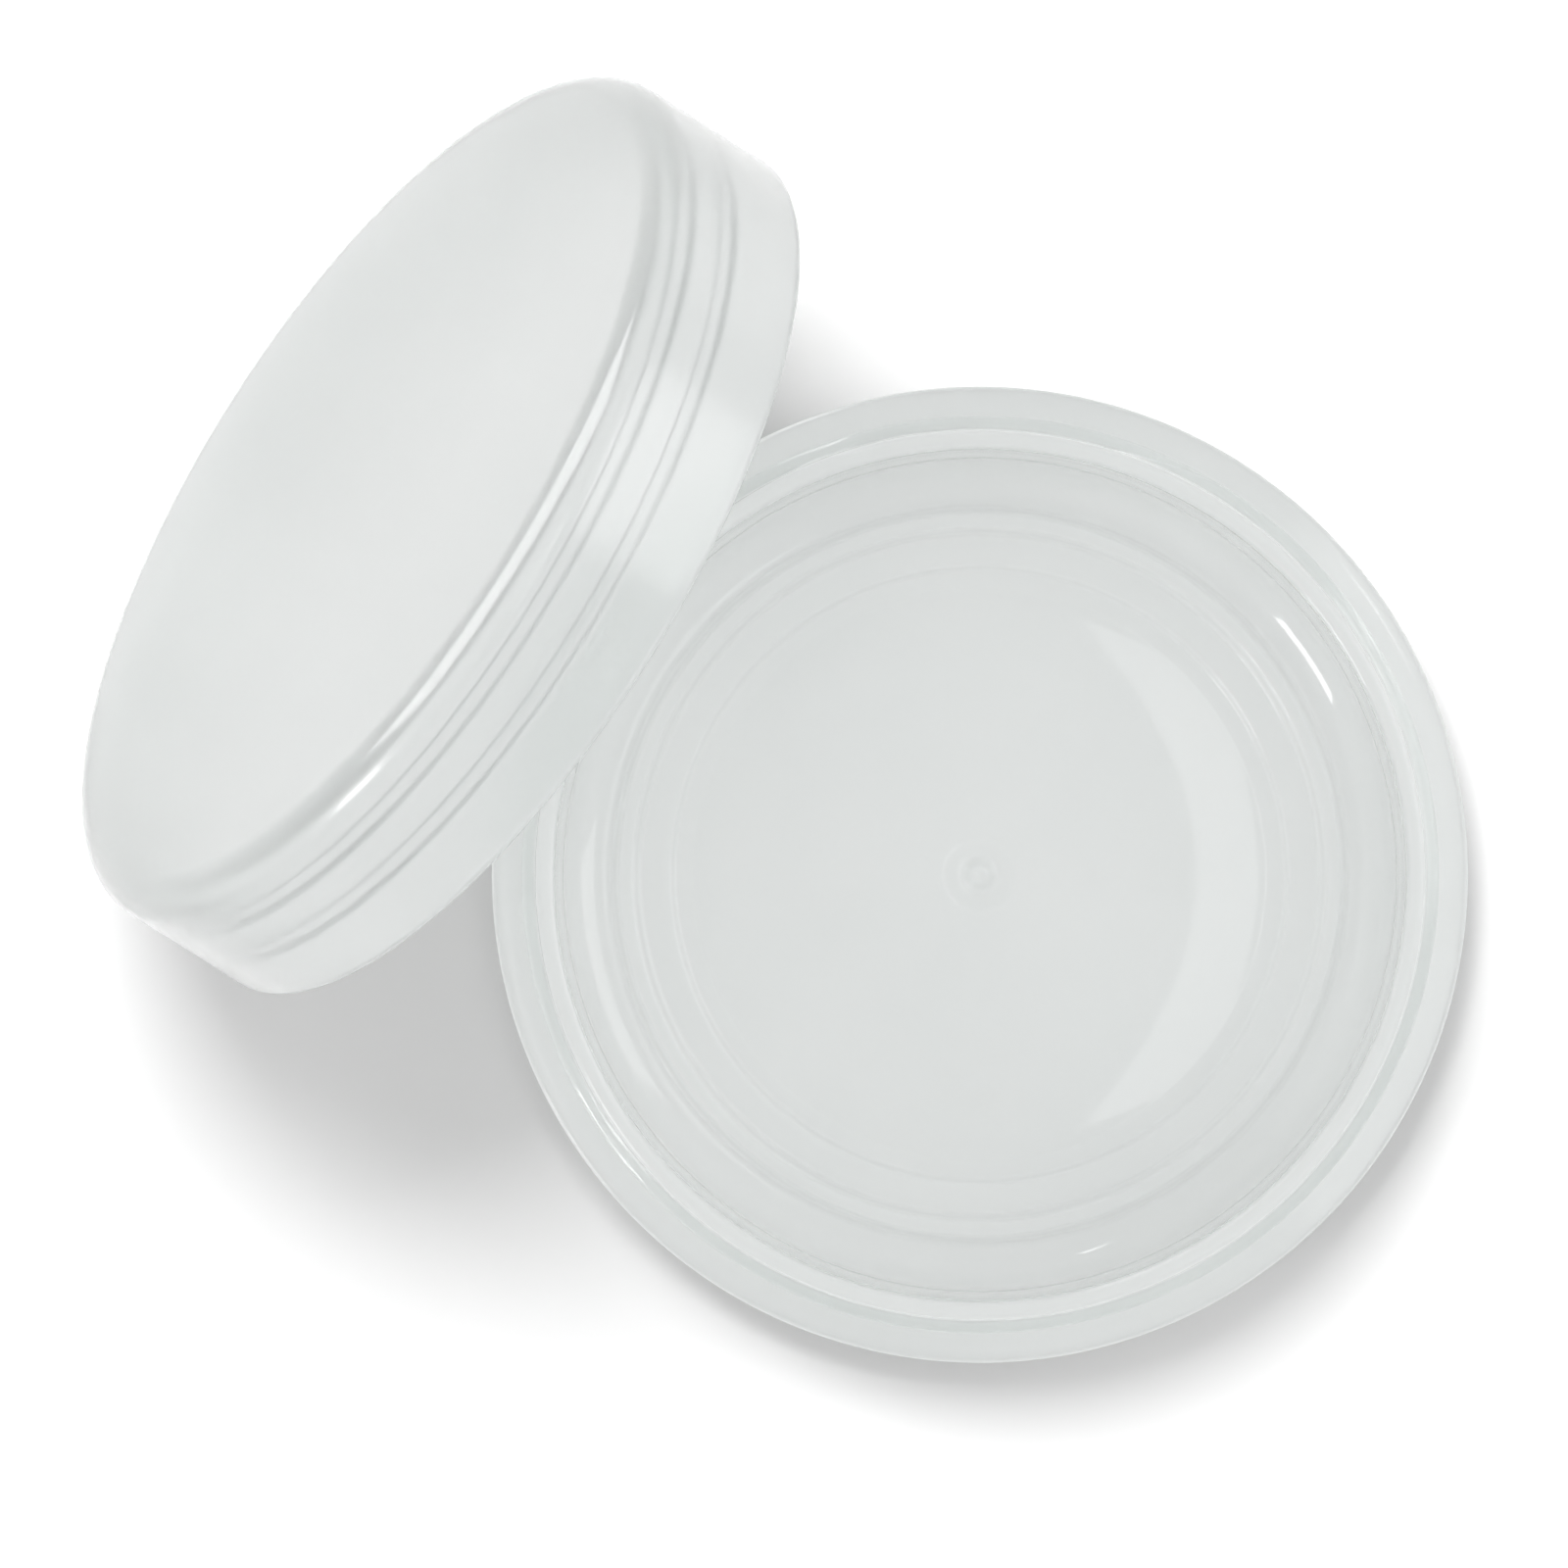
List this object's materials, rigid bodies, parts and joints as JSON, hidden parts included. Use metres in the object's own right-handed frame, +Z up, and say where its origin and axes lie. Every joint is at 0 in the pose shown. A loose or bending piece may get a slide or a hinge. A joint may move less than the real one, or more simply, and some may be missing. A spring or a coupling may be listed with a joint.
{
  "type": "coin capsule",
  "caption": "Round screw-top capsule for a coin, in translucent plastic: an open base with a threaded neck and a coin ring on its floor, and a skirted lid taken off and standing beside it.",
  "frame": {"origin": "middle of the base's flat underside", "axes": "+Z up along the base's axis, out of its open mouth; -X towards the lid that stands beside it"},
  "size_m": [0.0704, 0.05, 0.049],
  "materials": {
    "base_plastic": "translucent natural polypropylene, moulded glossy",
    "lid_plastic": "translucent natural polypropylene, moulded satin face and glossy skirt"
  },
  "bodies": {
    "base": {"base": "base_plastic"},
    "lid": {"lid": "lid_plastic"}
  },
  "joints": [
    {"name": "lid_turn", "type": "hinge", "parent": "base", "child": "lid", "pos_m": [-0.0286, 0, 0.0231], "axis": [-0.9367, 0, 0.3502], "continuous": true}
  ]
}
